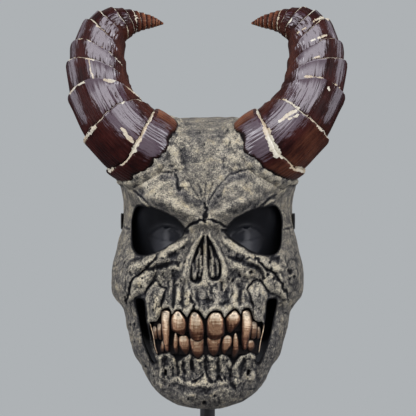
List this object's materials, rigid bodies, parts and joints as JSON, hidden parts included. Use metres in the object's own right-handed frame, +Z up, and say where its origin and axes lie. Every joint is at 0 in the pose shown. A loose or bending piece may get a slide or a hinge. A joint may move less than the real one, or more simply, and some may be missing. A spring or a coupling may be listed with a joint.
{
  "type": "horned skull mask",
  "caption": "Horned skull mask of painted latex with ringed curved horns, fangs and an elastic strap, worn by a black display head on a rod with a round foot.",
  "frame": {"origin": "middle of the foot's underside, on the surface it stands on", "axes": "+Z up, the mask faces -Y, +X to the viewer's right as the mask looks at the viewer"},
  "size_m": [0.277, 0.2233, 0.5461],
  "materials": {
    "aged_bone": "matte bone paint rubbed over black wash",
    "horn_gloss": "glossy red-brown with worn cream edges",
    "copper_teeth": "satin copper paint",
    "black_head": "satin black",
    "black_elastic": "woven elastic",
    "stand_metal": "satin black paint"
  },
  "bodies": {
    "root": {"skull_mask": "aged_bone", "horn_right": "horn_gloss", "horn_left": "horn_gloss", "upper_teeth": "copper_teeth", "lower_teeth": "copper_teeth", "display_head": "black_head", "head_strap": "black_elastic", "stand_rod": "stand_metal", "stand_foot": "stand_metal"}
  },
  "joints": []
}
